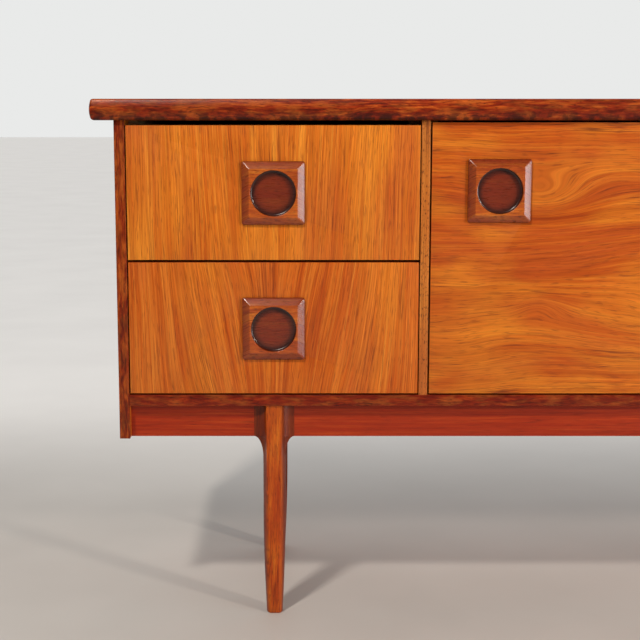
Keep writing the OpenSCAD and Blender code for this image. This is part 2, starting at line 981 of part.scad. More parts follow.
handle(door_handle_x(bay_middle), door_handle_z);  // middle_door_handle
door_leaves(bay_middle);  // middle_door_hinge_leaves
strike(bay_middle);  // middle_door_strike
door_panel(bay_right);  // right_door_panel
handle(door_handle_x(bay_right), door_handle_z);  // right_door_handle
door_leaves(bay_right);  // right_door_hinge_leaves
strike(bay_right);  // right_door_strike
door_screws(bay_middle);  // middle_door_screws
door_screws(bay_right);  // right_door_screws
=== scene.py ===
# A long teak sideboard: veneered case, two drawers, two doors, rounded top and shaped legs.
# Lengths are in metres and colours in sRGB hex, unless a note says otherwise.
import bpy
import bmesh
import math
import numpy as np
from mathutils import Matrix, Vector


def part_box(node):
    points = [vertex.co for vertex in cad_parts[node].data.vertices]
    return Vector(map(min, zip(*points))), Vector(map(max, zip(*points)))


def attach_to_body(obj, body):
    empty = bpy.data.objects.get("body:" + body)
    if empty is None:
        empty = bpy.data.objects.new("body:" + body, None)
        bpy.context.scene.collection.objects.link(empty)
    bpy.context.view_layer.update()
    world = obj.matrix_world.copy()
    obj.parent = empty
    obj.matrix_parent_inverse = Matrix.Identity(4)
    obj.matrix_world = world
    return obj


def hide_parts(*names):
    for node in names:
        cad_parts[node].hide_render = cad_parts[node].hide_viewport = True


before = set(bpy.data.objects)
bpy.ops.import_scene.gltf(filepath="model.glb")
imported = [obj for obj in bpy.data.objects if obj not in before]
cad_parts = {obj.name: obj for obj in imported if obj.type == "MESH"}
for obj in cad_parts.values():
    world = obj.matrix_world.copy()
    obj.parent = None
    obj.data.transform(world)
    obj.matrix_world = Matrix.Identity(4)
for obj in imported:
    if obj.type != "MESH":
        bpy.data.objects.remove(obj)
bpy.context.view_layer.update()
print("frame loaded")

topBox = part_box("top_edge_front")
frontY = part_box("front_edge_strips")[0].y  # plane of the case's front edges
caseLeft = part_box("side_left")[0].x
handles = ("upper_drawer", "lower_drawer", "middle_door", "right_door")  # the bodies that have one
handleBoxes = {body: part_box(body + "_handle") for body in handles}
handleAt = {body: (low + high) / 2 for body, (low, high) in handleBoxes.items()}
mm = 0.001

viewpoint = {
    "fromLeftSide": 0.2658,  # to the right of the case's left face
    "fromFront": 1.9515,
    "height": 0.752,
    "pitch": 8.93,  # degrees below level
    "lens": 77.15,  # this and the sensor in millimetres
    "sensor": 36,
    "shift": 0.0281,
}


def placeCamera(settings):
    camera = bpy.data.cameras.new("camera")
    camera.lens = settings["lens"]
    camera.sensor_width = settings["sensor"]
    camera.shift_x = settings["shift"]
    holder = bpy.data.objects.new("camera", camera)
    holder.location = (
        caseLeft + settings["fromLeftSide"],
        frontY - settings["fromFront"],
        settings["height"],
    )
    holder.rotation_euler = (math.radians(90 - settings["pitch"]), 0, 0)
    bpy.context.scene.collection.objects.link(holder)
    bpy.context.scene.camera = holder


# Azimuth is in degrees from the front, positive to the right; power is in watts
softBoxes = {
    "keyLeft": {
        "azimuth": -31, "elevation": 43.5, "distance": 3.0,
        "size": (0.26, 0.26), "power": 56, "tint": "fff6ec",
    },
    "keyRight": {
        "azimuth": 48, "elevation": 16.5, "distance": 3.0,
        "size": (0.2, 0.2), "power": 37, "tint": "fff2e6",
    },
    "sideRight": {
        "azimuth": 65, "elevation": 0, "distance": 4.0,
        "size": (1.5, 1.2), "power": 52, "tint": "ffffff",
    },
}
lightAim = np.array([caseLeft + 0.4, frontY, 0.5])  # near the drawers' right edge

roomGlow = {
    "behindCamera": 0.12,
    "behindSideboard": 0.90,
    "turn": (-0.3, 0.5),  # Y of the directions between which the one goes over into the other
    "tint": "f4f5f4",
}


def lightScene(boxes, room, aim):
    for name, box in boxes.items():
        light = bpy.data.lights.new(name, "AREA")
        light.shape = "RECTANGLE"
        light.size, light.size_y = box["size"]
        light.energy = box["power"]
        light.color = linear(box["tint"])[:3]
        holder = bpy.data.objects.new(name, light)
        azimuth = math.radians(box["azimuth"])
        elevation = math.radians(box["elevation"])
        out = np.array([
            math.sin(azimuth) * math.cos(elevation),
            -math.cos(azimuth) * math.cos(elevation),
            math.sin(elevation),
        ])
        holder.location = aim + out * box["distance"]
        holder.rotation_euler = (math.pi / 2 - elevation, 0, azimuth)
        holder.visible_camera = False
        bpy.context.scene.collection.objects.link(holder)
    # A pale room that is dimmer behind the camera, so that the fronts do not mirror a white wall
    world = bpy.data.worlds.new("studio")
    world.use_nodes = True
    tree = world.node_tree
    direction = add(tree, "SeparateXYZ", {0: add(tree, "TexCoord").outputs["Generated"]})
    start, end = room["turn"]
    dim, pale = room["behindCamera"], room["behindSideboard"]
    glow = add(tree, "MapRange", {0: direction.outputs[1], 1: start, 2: end, 3: dim, 4: pale})
    # Seen directly, the room is equally pale all round
    seen = add(tree, "LightPath").outputs["Is Camera Ray"]
    glow = add(tree, "Mix", {0: seen, 2: glow, 3: pale})
    background = tree.nodes["Background"]
    background.inputs["Color"].default_value = linear(room["tint"])
    tree.links.new(glow.outputs[0], background.inputs["Strength"])
    bpy.context.scene.world = world
    bpy.context.scene.view_settings.view_transform = "Standard"
    print("camera and lights done")


def linear(hexColour):
    # sRGB to linear light: a straight line near black, and above it a power curve
    parts = [int(hexColour[i:i + 2], 16) / 255 for i in (0, 2, 4)]
    return [c / 12.92 if c <= 0.04045 else ((c + 0.055) / 1.055) ** 2.4 for c in parts] + [1.0]


def add(tree, kind, inputs=None, **settings):
    # One node with its settings; an input takes a number, a socket, or a node whose first output it reads
    made = tree.nodes.new("ShaderNode" + kind)
    stops = settings.pop("stops", None)
    for key, value in settings.items():
        setattr(made, key, value)
    for key, value in (inputs or {}).items():
        if isinstance(value, bpy.types.Node):
            value = value.outputs[0]
        if isinstance(value, bpy.types.NodeSocket):
            tree.links.new(value, made.inputs[key])
        else:
            made.inputs[key].default_value = value
    if stops:
        ramp = made.color_ramp.elements
        while len(ramp) < len(stops):
            ramp.new(0.5)
        for element, (position, colour) in zip(ramp, stops):
            element.position = position
            element.color = linear(colour)
    return made


def newMaterial(name):
    material = bpy.data.materials.new(name)
    material.use_nodes = True
    material.node_tree.nodes.clear()
    return material, material.node_tree


def surface(tree, **inputs):
    shader = add(tree, "BsdfPrincipled", {key.replace("_", " "): value for key, value in inputs.items()})
    add(tree, "OutputMaterial", {"Surface": shader})
    return shader


# Teak veneer, sliced and laid with its grain level or upright, under a thin satin lacquer. To the eye that
# is warm orange bands with fine dark lines and a soft sheen. Each pair of sizes is in millimetres, how wide
# and how long the marks are, across and along the grain. Real pores and fibres are 0.2 to 0.3 mm wide, too
# fine to show, so they are drawn about five times as coarse.
veneerLook = {
    "along": "Z",
    "wander": 9, "wanderSize": (70, 420),
    "band": (14, 560), "streak": (2.0, 260), "fibre": (1.2, 80),
    "line": (6.5, 480), "pore": (1.3, 22),
    "gap": (24, 120),  # the stretches over which the dark lines come and go
    "blot": (7, 13),  # blots that break up the painted shade
    "spread": 0.15,  # how far the noise strays from its middle at the darkest and the lightest tone
    "lineDepth": 0.75, "lineWidth": 0.020, "poreDepth": 0.45, "fibreDepth": 0.2,
    "tones": [(0.0, "b04b04"), (0.38, "c4620e"), (0.62, "ce7119"), (1.0, "dc8828")],
    "blush": "b2501c", "blushDepth": 0.42, "blushSize": (45, 260),
    "glow": "e89426", "glowDepth": 0.34, "glowSize": (70, 300),
    "lineTone": "6e2a0a", "roughness": 0.38, "coat": 0.02, "sheen": 0.3,
    "mottle": None,  # how blotchy the painted shade is, from 0 to 1, or None where there is none
    "seed": 1.0,
}

# Every layer of the figure reads its own slice of one noise. A patchy layer starts to count at the first
# height given for it and counts in full from the second.
slices = {
    "wander": 0, "band": 11, "streak": 23, "blush": 37, "line": 41,
    "gap": 53, "fibre": 67, "pore": 79, "glow": 91, "blot": 97,
}
heightsOf = {
    "blush": (0.44, 0.64), "glow": (0.46, 0.68), "gap": (0.42, 0.60),
    "fibre": (0.3, 0.7), "pore": (0.58, 0.68), "blot": (0.42, 0.56),
}
woodFinish = {
    "seedStep": 7.3,  # how far apart two seeds lie in the noise
    "drift": 0.004,  # slow change of the figure across the grain, per millimetre
    "streakShare": 0.52,  # of streaks in the tone, the rest being bands
    "glossLess": 0.05, "glossMore": 0.07,  # how far the fibres change the roughness
    "relief": 0.22, "reliefDepth": 0.15 * mm,
    "poreSink": 0.8,  # depth of a pore against the height of a fibre
    "noiseRoughness": 0.55, "coatRoughness": 0.22, "ior": 1.5,
    # tone of the painted shade
    "paintedShadeTone": "1c0602",
}


def wood(name, look, figure=None, hollow=None, **changes):
    # Bands, streaks and fibres are noise stretched along the grain; dark lines are the noise's own contour
    # at half height; pores are its thresholded peaks. figure bends the grain before any of them is read.
    # hollow is how far, and to which tone, the colour is darkened into painted shade where the mesh's own
    # attribute asks for it.
    look = {**look, **changes}
    material, tree = newMaterial(name)
    place = add(tree, "TexCoord").outputs["Object"]
    place = add(tree, "VectorMath", {0: place, "Scale": 1 / mm}, operation="SCALE")
    axes = add(tree, "SeparateXYZ", {0: place}).outputs
    along = axes[look["along"]]
    others = [axes[axis] for axis in "XYZ" if axis != look["along"]]
    across = add(tree, "Math", {0: others[0], 1: others[1]}, operation="ADD").outputs[0]
    start = look["seed"] * woodFinish["seedStep"]
    drift = add(tree, "Math", {0: across, 1: woodFinish["drift"], 2: start}, operation="MULTIPLY_ADD")
    if figure:
        across = figure(tree, along, across)

    def grain(layer, size, across, detail=2.0):
        u = add(tree, "Math", {0: across, 1: size[0]}, operation="DIVIDE")
        v = add(tree, "Math", {0: along, 1: size[1]}, operation="DIVIDE")
        w = add(tree, "Math", {0: drift, 1: slices[layer]}, operation="ADD")
        at = add(tree, "CombineXYZ", {0: u, 1: v, 2: w})
        rough = woodFinish["noiseRoughness"]
        return add(tree, "TexNoise", {"Vector": at, "Scale": 1.0, "Detail": detail, "Roughness": rough})

    def counted(layer, noise, least, most):
        low, high = heightsOf[layer]
        return add(tree, "MapRange", {0: noise, 1: low, 2: high, 3: least, 4: most})

    wander = add(tree, "Math", {0: grain("wander", look["wanderSize"], across), 1: -0.5}, operation="ADD")
    bend = add(tree, "Math", {0: wander, 1: 2 * look["wander"], 2: across}, operation="MULTIPLY_ADD")
    bands = grain("band", look["band"], bend, 3.0)
    streaks = grain("streak", look["streak"], bend, 3.0)
    tone = add(tree, "Mix", {0: woodFinish["streakShare"], 2: bands, 3: streaks})
    low, high = 0.5 - look["spread"], 0.5 + look["spread"]
    tone = add(tree, "MapRange", {0: tone, 1: low, 2: high, 3: 0, 4: 1})
    colour = add(tree, "ValToRGB", {0: tone}, stops=look["tones"])

    patch = counted("blush", grain("blush", look["blushSize"], bend), 0, look["blushDepth"])
    colour = add(tree, "Mix", {0: patch, 6: colour, 7: linear(look["blush"])}, data_type="RGBA")
    patch = counted("glow", grain("glow", look["glowSize"], bend), 0, look["glowDepth"])
    colour = add(tree, "Mix", {0: patch, 6: colour.outputs[2], 7: linear(look["glow"])}, data_type="RGBA")

    crest = add(tree, "Math", {0: grain("line", look["line"], bend, 3.0), 1: 0.5}, operation="SUBTRACT")
    crest = add(tree, "Math", {0: crest}, operation="ABSOLUTE")
    crest = add(tree, "MapRange", {0: crest, 1: 0.0, 2: look["lineWidth"], 3: 1, 4: 0})
    broken = counted("gap", grain("gap", look["gap"], bend), 0, look["lineDepth"])
    lines = add(tree, "Math", {0: crest, 1: broken}, operation="MULTIPLY")
    lineTone = linear(look["lineTone"])
    colour = add(tree, "Mix", {0: lines, 6: colour.outputs[2], 7: lineTone}, data_type="RGBA")

    # Painted shade: the colour darkens towards the given tone where the attribute is high
    if hollow:
        strength, shadeTone = hollow
        deep = add(tree, "Attribute", attribute_name="deep").outputs["Fac"]
        deep = add(tree, "Math", {0: deep, 1: strength}, operation="MULTIPLY")
        colour = add(tree, "Mix", {0: deep, 6: colour.outputs[2], 7: linear(shadeTone)}, data_type="RGBA")
    if look["mottle"] is not None:
        # Painted shade: the colour goes dark where the mesh's own attribute says, in blots as far as mottle
        # asks for them
        blots = counted("blot", grain("blot", look["blot"], bend, 3.0), 1 - look["mottle"], 1)
        paintedShade = add(tree, "Attribute", attribute_name="paintedShade").outputs["Fac"]
        paintedShade = add(tree, "Math", {0: paintedShade, 1: blots}, operation="MULTIPLY")
        paintedShadeTone = linear(woodFinish["paintedShadeTone"])
        colour = add(tree, "Mix", {0: paintedShade, 6: colour.outputs[2], 7: paintedShadeTone}, data_type="RGBA")

    fibre = grain("fibre", look["fibre"], bend)
    shade = counted("fibre", fibre, 1 - look["fibreDepth"], 1 + look["fibreDepth"])
    colour = add(tree, "VectorMath", {0: colour.outputs[2], "Scale": shade}, operation="SCALE")
    pores = counted("pore", grain("pore", look["pore"], bend, 1.0), 0, 1)
    poreMix = add(tree, "Math", {0: pores, 1: look["poreDepth"]}, operation="MULTIPLY")
    colour = add(tree, "Mix", {0: poreMix, 6: colour, 7: lineTone}, data_type="RGBA")

    rough = look["roughness"]
    gloss = counted("fibre", fibre, rough - woodFinish["glossLess"], rough + woodFinish["glossMore"])
    height = add(tree, "Math", {0: pores, 1: -woodFinish["poreSink"], 2: fibre}, operation="MULTIPLY_ADD")
    bump = add(tree, "Bump", {
        "Strength": woodFinish["relief"], "Distance": woodFinish["reliefDepth"], "Height": height,
    })
    surface(tree, Base_Color=colour.outputs[2], Roughness=gloss.outputs[0], Normal=bump.outputs[0],
            Coat_Weight=look["coat"], Coat_Roughness=woodFinish["coatRoughness"], IOR=woodFinish["ior"],
            Specular_IOR_Level=look["sheen"])
    return material


def leanGrain(centreX, footZ, slope, reach):
    # Lines beside the middle lean outwards as they rise, most at reach from it, where they move sideways by
    # slope for each millimetre of height: shift = 1.65 * slope * dz * u * exp(-u^2 / 2), with u = dx / reach
    toSlope = 1.65  # u * exp(-u^2 / 2) is 0.61 at its peak

    def figure(tree, along, across):
        u = add(tree, "Math", {0: across, 1: -centreX}, operation="ADD")
        u = add(tree, "Math", {0: u, 1: reach}, operation="DIVIDE")
        square = add(tree, "Math", {0: u, 1: u}, operation="MULTIPLY")
        fall = add(tree, "Math", {0: square, 1: -0.5}, operation="MULTIPLY")
        bell = add(tree, "Math", {0: fall}, operation="EXPONENT")
        rise = add(tree, "Math", {0: along, 1: -footZ}, operation="ADD")
        shift = add(tree, "Math", {0: rise, 1: u}, operation="MULTIPLY")
        shift = add(tree, "Math", {0: shift, 1: bell}, operation="MULTIPLY")
        return add(tree, "Math", {0: shift, 1: -toSlope * slope, 2: across}, operation="MULTIPLY_ADD")
    return figure


def swirlGrain(swirls):
    # Grain pushed up or down by a bell-shaped swelling at each knot, which adds
    # push * exp(-(dx / width)^2 - (dz / height)^2)
    def figure(tree, along, across):
        total = across
        for x, z, width, height, push in swirls:
            dx = add(tree, "Math", {0: along, 1: -x}, operation="ADD")
            dz = add(tree, "Math", {0: across, 1: -z}, operation="ADD")
            dx = add(tree, "Math", {0: dx, 1: width}, operation="DIVIDE")
            dz = add(tree, "Math", {0: dz, 1: height}, operation="DIVIDE")
            dx = add(tree, "Math", {0: dx, 1: dx}, operation="MULTIPLY")
            away = add(tree, "Math", {0: dz, 1: dz, 2: dx}, operation="MULTIPLY_ADD")
            fall = add(tree, "Math", {0: away, 1: -1.0}, operation="MULTIPLY")
            bell = add(tree, "Math", {0: fall}, operation="EXPONENT")
            total = add(tree, "Math", {0: bell, 1: push, 2: total}, operation="MULTIPLY_ADD")
        return total
    return figure


# Lean is the slope of the lines beside the handle, and leanReach how far they are from its middle, in mm
drawerLooks = {
    "upper_drawer": {"lean": 0.06, "leanReach": 80, "seed": 2.0, "tones": veneerLook["tones"]},
    "lower_drawer": {
        "lean": 0.20, "leanReach": 75, "seed": 5.0,
        "tones": [(0.0, "a84204"), (0.38, "bb560c"), (0.62, "c56418"), (1.0, "d47a26")],
    },
}
doorLook = {
    **veneerLook, "along": "X", "wander": 10, "wanderSize": (60, 260),
    "band": (22, 420), "streak": (4.2, 260), "line": (9, 420), "fibre": (1.4, 80),
    "fibreDepth": 0.15, "spread": 0.17, "lineDepth": 0.9, "lineWidth": 0.017,
    "tones": [(0.0, "a03c02"), (0.38, "b44e06"), (0.62, "c05c0e"), (1.0, "d2761c")],
    "blush": "ae4a18", "glowDepth": 0.34, "glowSize": (60, 150), "lineTone": "6c2c0e",
}
# Swellings of the doors' figure in millimetres: right of and above the handle's middle, half width, half
# height, and push, whose sign says which way
doorKnots = [
    (58, -8, 72, 33, 46), (62, -168, 34, 17, -13), (260, -85, 150, 46, -24),
    (270, -205, 160, 55, 30), (-70, -240, 90, 60, 18),
]
doorSeeds = {"middle_door": 10, "right_door": 9}


def makeFrontWoods(finish):
    # Upright veneer on the drawers, level veneer with a swirling figure on the doors, plain on the boards
    depth = frontY / mm  # the fronts' own Y, which wood() adds to X or Z across the grain
    for body, look in drawerLooks.items():
        middle = handleAt[body] / mm
        figure = leanGrain(middle.x + depth, middle.z, look["lean"], look["leanReach"])
        name = "teakVeneer" + body.title().replace("_", "")
        finish[body] = wood(name, veneerLook, figure, seed=look["seed"], tones=look["tones"])
    for body, seed in doorSeeds.items():
        middle = handleAt[body] / mm
        knots = [
            (middle.x + dx, middle.z + depth + dz, width, height, push)
            for dx, dz, width, height, push in doorKnots
        ]
        name = "teakVeneer" + body.title().replace("_", "")
        finish[body] = wood(name, doorLook, swirlGrain(knots), seed=seed)
    finish["sideVeneer"] = wood("teakVeneerUpright", veneerLook, seed=8.0)
    finish["flatVeneer"] = wood("teakVeneerLevel", veneerLook, along="X", seed=3.0)


# Solid teak lippings, planed and lacquered over a darker stain: a short, broken figure, almost black in blots
# where the top's edges carry painted shade on their lower part
edgeLook = {
    **veneerLook, "along": "X", "wander": 7, "wanderSize": (30, 120),
    "band": (9, 60), "streak": (3.2, 26), "fibre": (1.3, 9), "line": (8, 90), "pore": (1.2, 9),
    "tones": [(0.0, "5c1202"), (0.38, "822204"), (0.62, "943006"), (1.0, "b65216")],
    "blush": "6a2008", "lineTone": "340c03", "lineDepth": 0.7, "poreDepth": 0.5, "fibreDepth": 0.22,
    "glow": "ac5c20", "glowDepth": 0.4, "glowSize": (9, 30), "mottle": 0.85,
    "spread": 0.10, "roughness": 0.34, "coat": 0.04, "sheen": 0.22,
}
uprightTones = [(0.0, "521202"), (0.38, "742004"), (0.62, "842c06"), (1.0, "a44c14")]
boardTones = [(0.0, "601202"), (0.38, "721903"), (0.62, "7d2004"), (1.0, "923008")]

# The partition's lipping was left unstained: pale, with short open pores
paleEdgeLook = {
    **veneerLook, "glowDepth": 0.2, "lineTone": "5a240a", "pore": (1.5, 5), "poreDepth": 0.8,
    "tones": [(0.0, "9d4c12"), (0.38, "b06322"), (0.62, "bb6f2c"), (1.0, "cb803a")],
}


def makeEdgeWoods(finish):
    finish["levelEdge"] = wood("teakLippingLevel", edgeLook, seed=4.0)
    finish["uprightEdge"] = wood("teakLippingUpright", edgeLook, along="Z", tones=uprightTones, seed=6.0)
    finish["depthEdge"] = wood("teakLippingDepth", edgeLook, along="Y", seed=7.0)
    finish["boardEdge"] = wood("teakLippingBoard", edgeLook, tones=boardTones, seed=4.6)
    finish["tanEdge"] = wood("paleTeakLipping", paleEdgeLook, seed=6.4)


# Beech rails under a red stain, which hides most of the figure and leaves an even, warm red
railLook = {
    **veneerLook, "along": "X", "wander": 5, "wanderSize": (40, 500),
    "band": (13, 420), "streak": (3.4, 160), "fibre": (1.3, 40), "line": (7, 260),
    "tones": [(0.0, "8c2003"), (0.38, "982804"), (0.62, "a02f06"), (1.0, "b04010")],
    "blush": "942a0e", "glowDepth": 0, "lineTone": "551505",
    "lineDepth": 0.45, "poreDepth": 0.25, "fibreDepth": 0.1,
}
# Solid afrormosia legs, shaped and sanded: red-brown with a finer, shorter figure; the sides are darkened
# with painted shade
legLook = {
    **veneerLook, "wander": 5, "wanderSize": (26, 160),
    "band": (9, 110), "streak": (3.0, 60), "fibre": (1.2, 22), "line": (7, 150), "pore": (1.1, 12),
    "tones": [(0.0, "952f04"), (0.38, "a94206"), (0.62, "b54f0a"), (1.0, "c76716")],
    "blush": "9a3e12", "glowDepth": 0.2, "lineTone": "4c1606", "roughness": 0.34, "coat": 0.04,
}
legPaintedShade = (0.8, "5a1603")  # strength and tone of the painted shade on the legs' sides

# Solid hardwood handles, turned and bevelled, stained and polished: the shiniest wood of the sideboard, with
# painted shade in the hollow and on the bevels
handleLook = {
    **veneerLook, "along": "X", "wander": 3, "wanderSize": (20, 80),
    "band": (10, 90), "streak": (2.6, 40), "fibre": (1.1, 14), "line": (6, 60), "pore": (1.1, 8),
    "tones": [(0.0, "963a08"), (0.38, "ac4d0c"), (0.62, "b65910"), (1.0, "c66f1e")],
    "blush": "903006", "glowDepth": 0.0, "lineTone": "3c1004", "lineDepth": 0.5,
    "roughness": 0.30, "coat": 0.42, "sheen": 0.4, "mottle": 0.0,
}
# Strength and tone of the painted shade in the handles' hollows and on their bevels
handlePaintedShade = (0.85, "661603")


def makeSolidWoods(finish):
    finish["rail"] = wood("redStainedBeechLevel", railLook, seed=9.0)
    finish["crossRail"] = wood("redStainedBeechDepth", railLook, along="Y", seed=10.0)
    finish["leg"] = wood("afrormosiaLeg", legLook, hollow=legPaintedShade, seed=11.0)
    finish["handle"] = wood("stainedHandlePaintedShade", handleLook, hollow=handlePaintedShade, seed=12.0)


# Bare beech and birch plywood inside, planed but never lacquered: pale and matt
paleLook = {
    **veneerLook, "along": "Y", "band": (15, 300), "streak": (4, 140), "line": (10, 260),
    "tones": [(0.0, "a87c4c"), (0.38, "bc9160"), (0.62, "c69d6c"), (1.0, "d4ae80")],
    "blush": "b48858", "glowDepth": 0, "lineTone": "86602e", "lineDepth": 0.3,
    "roughness": 0.55, "coat": 0.0,
}
# The back's plywood has one thin coat of brown stain
backLook = {
    **paleLook, "along": "X", "lineTone": "4c2c16", "blush": "70441f",
    "tones": [(0.0, "623a1e"), (0.38, "744826"), (0.62, "80522c"), (1.0, "906238")],
}


def makeInsideWoods(finish):
    finish["drawerSide"] = wood("bareBeechDepth", paleLook, seed=13.0)
    finish["drawerBack"] = wood("bareBeechLevel", paleLook, along="X", seed=14.0)
    finish["ply"] = wood("birchPlywood", paleLook, along="X", band=(30, 300), blushDepth=0.2, seed=15.0)
    finish["back"] = wood("stainedPlywoodBack", backLook, seed=16.0)


metalLook = {
    "blotches": 260,  # to the metre, so each is about 4 mm wide
    "heights": (0.3, 0.7),  # of the noise, between which gloss and shade change
    "glossLess": 0.08, "glossMore": 0.12,
    "shade": (0.82, 1.05),
}


def metal(name, colour, roughness):
    # Satin metal, handled for years: tarnish in small blotches that change both the gloss and the tone
    material, tree = newMaterial(name)
    place = add(tree, "TexCoord").outputs["Object"]
    tarnish = add(tree, "TexNoise", {"Vector": place, "Scale": metalLook["blotches"], "Detail": 4})
    smooth, rough = roughness - metalLook["glossLess"], roughness + metalLook["glossMore"]
    dark, light = metalLook["shade"]
    low, high = metalLook["heights"]
    gloss = add(tree, "MapRange", {0: tarnish, 1: low, 2: high, 3: smooth, 4: rough})
    shade = add(tree, "MapRange", {0: tarnish, 1: low, 2: high, 3: dark, 4: light})
    shaded = add(tree, "VectorMath", {0: linear(colour)[:3], "Scale": shade}, operation="SCALE")
    surface(tree, Base_Color=shaded.outputs[0], Metallic=1.0, Roughness=gloss.outputs[0])
    return material


plasticLook = {
    "grit": 900,  # grains to the metre; real ones are ten times as fine, too fine to show
    "relief": 0.3, "reliefDepth": 0.05 * mm,
    "roughness": 0.55,
}


def mouldedPlastic(name, colour):
    # Black ABS, moulded with a fine spark-eroded grit that takes the gloss away
    material, tree = newMaterial(name)
    place = add(tree, "TexCoord").outputs["Object"]
    grit = add(tree, "TexNoise", {"Vector": place, "Scale": plasticLook["grit"], "Detail": 2})
    bump = add(tree, "Bump", {
        "Strength": plasticLook["relief"], "Distance": plasticLook["reliefDepth"], "Height": grit,
    })
    surface(tree, Base_Color=linear(colour), Roughness=plasticLook["roughness"], Normal=bump.outputs[0])
    return material


def makeMaterials():
    finish = {
        "brass": metal("satinBrass", "c9a052", 0.34),
        "steel": metal("zincPlatedSteel", "b9b7b0", 0.38),
        "plastic": mouldedPlastic("mouldedAbs", "24211f"),
    }
    makeFrontWoods(finish)
    makeEdgeWoods(finish)
    makeSolidWoods(finish)
    makeInsideWoods(finish)
    print("materials done")
    return finish


def camel(node):
    # front_rail_left becomes frontRailLeft
    return "".join(word.title() if i else word for i, word in enumerate(node.split("_")))


def stackRings(rings):
    # Closed rings of equal count, joined by quads in order and capped at both ends
    levels, count = rings.shape[:2]
    index = np.arange(levels * count).reshape(levels, count)
    onward = np.roll(index, -1, axis=1)
    quads = np.stack([index[:-1], onward[:-1], onward[1:], index[1:]], axis=-1).reshape(-1, 4).tolist()
    quads.append(index[0, ::-1].tolist())
    quads.append(index[-1].tolist())
    return rings.reshape(-1, 3).tolist(), quads


def newPiece(name, rings, material, body, nodes, sharp=35):
    # A piece lofted through rings, an array of levels by points by three
    mesh = bpy.data.meshes.new(name)
    points, faces = stackRings(rings)
    mesh.from_pydata(points, [], faces)
    mesh.update()
    return finishPiece(name, mesh, [material], body, nodes, sharp)


def finishPiece(name, mesh, materials, body, nodes, sharp):
    # Edges steeper than sharp, in degrees, stay hard
    for material in materials:
        mesh.materials.append(material)
    mesh.shade_smooth()
    mesh.set_sharp_from_angle(angle=math.radians(sharp))
    piece = bpy.data.objects.new(name, mesh)
    bpy.context.scene.collection.objects.link(piece)
    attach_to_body(piece, body)
    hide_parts(*nodes)
    return piece


def attach(piece, name, values):
    # One number for every vertex, which the piece's material reads
    attribute = piece.data.attributes.new(name, "FLOAT", "POINT")
    attribute.data.foreach_set("value", np.asarray(values, dtype=np.float32))


def roundedLine(corners, steps=5):
    # A line through corners (x, y, radius), each turned on a circular arc of its radius
    points = []
    for i, (x, y, radius) in enumerate(corners):
        here = np.array([x, y], float)
        if radius == 0 or i in (0, len(corners) - 1):
            points.append(here)
            continue
        back = np.array(corners[i - 1][:2]) - here
        ahead = np.array(corners[i + 1][:2]) - here
        back, ahead = back / np.hypot(*back), ahead / np.hypot(*ahead)
        half = math.acos(np.clip(back @ ahead, -1, 1)) / 2
        reach = radius / math.tan(half)
        middle = back + ahead
        centre = here + middle / np.hypot(*middle) * radius / math.sin(half)
        start, end = here + back * reach - centre, here + ahead * reach - centre
        turn = np.linspace(0, 1, steps + 1)[:, None]
        angle = math.pi - 2 * half
        arc = (np.sin((1 - turn) * angle) * start + np.sin(turn * angle) * end) / math.sin(angle)
        points.extend(centre + arc)
    return np.array(points)


topEdge = {
    "width": 20 * mm,
    "bulge": 3.0 * mm,
    "upperArris": 2.5 * mm,
    "lowerArris": 4.0 * mm,
    "cornerRadius": 5 * mm,  # in plan, at the two front corners
    "leastRadius": 1 * mm,  # of a corner where the edge curves in
    "cornerSteps": 10,
    "profileSteps": 40,
    "paintedShade": 0.8,  # how dark the painted shade on the lower part of the edge is
    "paintedShadeFade": (1.15, 0.55),  # darkness is the first less height / second, height as a share of the edge's
}


def edgeProfile(settings, thickness):
    # Inset from the outermost line against height: a shallow bulge, inset = bulge * t^2 with t from -1 below
    # to 1 above, and an arc at each arris. Levels follow a sine, so they lie closer near the arrises.
    t = np.sin(np.linspace(-1, 1, settings["profileSteps"] + 1) * math.pi / 2)
    height = thickness * (1 + t) / 2
    inset = settings["bulge"] * t ** 2
    for radius, gap in ((settings["upperArris"], thickness - height), (settings["lowerArris"], height)):
        near = np.clip(1 - gap / radius, 0, 1)
        inset = inset + radius * (1 - np.sqrt(1 - near ** 2))
    return inset, height


def makeTopEdges(settings, finish):
    # The profile is carried along the front and round a quarter circle at both its corners, and straight
    # along the sides: every level is the outline of the strip, drawn in by the profile's inset
    low, high = topBox
    inset, height = edgeProfile(settings, high.z - low.z)
    inset = inset[:, None]
    turn = np.linspace(0, math.pi / 2, settings["cornerSteps"] + 1)
    r = np.maximum(settings["cornerRadius"] - inset, settings["leastRadius"])
    x0, x1, y0 = low.x + inset, high.x - inset, low.y + inset
    joint = low.y + settings["width"] + 0 * inset
    x = np.hstack([x0, x0 + r - r * np.cos(turn), x1 - r + r * np.sin(turn), x1])
    y = np.hstack([joint, y0 + r - r * np.sin(turn), y0 + r - r * np.cos(turn), joint])
    z = low.z + height[:, None] + 0 * x
    rings = np.stack([x, y, z], axis=2)
    piece = newPiece("topEdgeFront", rings, finish["levelEdge"], "case", ["top_edge_front"])
    # Painted shade: the lower part of the edge is darkened, most at its foot
    start, span = settings["paintedShadeFade"]
    dark = np.clip(start - height / (span * height[-1]), 0, 1) * settings["paintedShade"]
    attach(piece, "paintedShade", np.repeat(dark, x.shape[1]))
    for side, node in ((-1, "top_edge_left"), (1, "top_edge_right")):
        low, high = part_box(node)
        outer, inner = (low.x, high.x) if side < 0 else (high.x, low.x)
        edge, inside = outer - side * inset, inner + 0 * inset
        x = np.hstack([edge, edge, inside, inside])[:, ::-side]
        y = np.array([high.y, low.y, low.y, high.y])[::-side] + 0 * x
        z = low.z + height[:, None] + 0 * x
        rings = np.stack([x, y, z], axis=2)
        piece = newPiece(camel(node), rings, finish["depthEdge"], "case", [node])
        attach(piece, "paintedShade", np.repeat(dark, x.shape[1]))
    print("top edges done")


